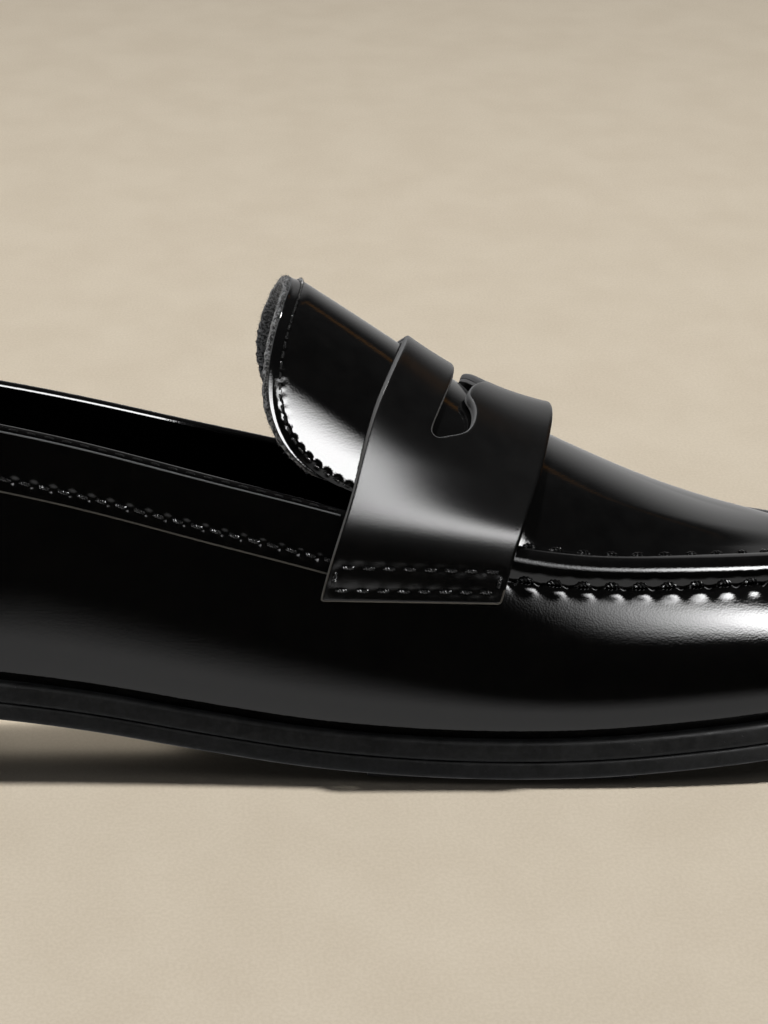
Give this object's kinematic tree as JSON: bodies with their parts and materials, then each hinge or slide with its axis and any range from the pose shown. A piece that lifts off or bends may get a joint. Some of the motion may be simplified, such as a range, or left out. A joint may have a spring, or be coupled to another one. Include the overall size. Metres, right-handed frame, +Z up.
{
  "type": "penny loafer",
  "caption": "Left black leather penny loafer: stitched apron, saddle strap with a coin slot, free tongue, two-layer sole and low stacked heel.",
  "frame": {"origin": "on the floor under the middle of the shoe's bounding box", "axes": "+X towards the toe, +Z up, -Y the inner (medial) side"},
  "size_m": [0.2716, 0.0872, 0.0958],
  "materials": {
    "upper_leather": "high polish",
    "strap_leather": "polish, fine grain",
    "strap_split": "raw cut edge",
    "lining_leather": "smooth",
    "sock_leather": "satin",
    "felt": "napped",
    "thread": "waxed",
    "sole_rubber": "matte",
    "tread_rubber": "matte",
    "midsole": "matte",
    "heel_stack": "painted, matte",
    "top_lift": "matte",
    "nail_steel": "plain",
    "shank_steel": "plain",
    "cork": "granular",
    "board": "bonded fibre board"
  },
  "bodies": {
    "shoe": {"outsole": "sole_rubber", "tread_insert": "tread_rubber", "midsole": "midsole", "heel_block": "heel_stack", "heel_top_lift": "top_lift", "heel_nails": "nail_steel", "shank": "shank_steel", "cork_filler": "cork", "insole_board": "board", "sock_liner": "sock_leather", "heel_pad": "sock_leather", "side_wall": "upper_leather", "heel_counter": "board", "toe_puff": "board", "quarter_lining": "lining_leather", "vamp_lining": "lining_leather", "collar_band": "upper_leather", "back_stay": "upper_leather", "apron": "upper_leather", "apron_lining": "lining_leather", "apron_ridge": "upper_leather", "strap": "strap_leather", "strap_lining": "strap_split", "apron_stitches_upper": "thread", "apron_stitches_lower": "thread", "collar_stitches": "thread", "topline_stitches": "thread", "strap_stitches_medial": "thread", "strap_stitches_lateral": "thread", "back_stay_stitches": "thread"},
    "tongue_flap": {"tongue": "upper_leather", "tongue_lining": "felt", "tongue_stitches": "thread"}
  },
  "joints": [
    {"name": "tongue_flex", "type": "hinge", "parent": "shoe", "child": "tongue_flap", "pos_m": [0.02277, -0.00084, 0.0821], "axis": [0, 1, 0], "range_deg": [0, 20], "stiffness_Nm_per_rad": 0.05}
  ]
}
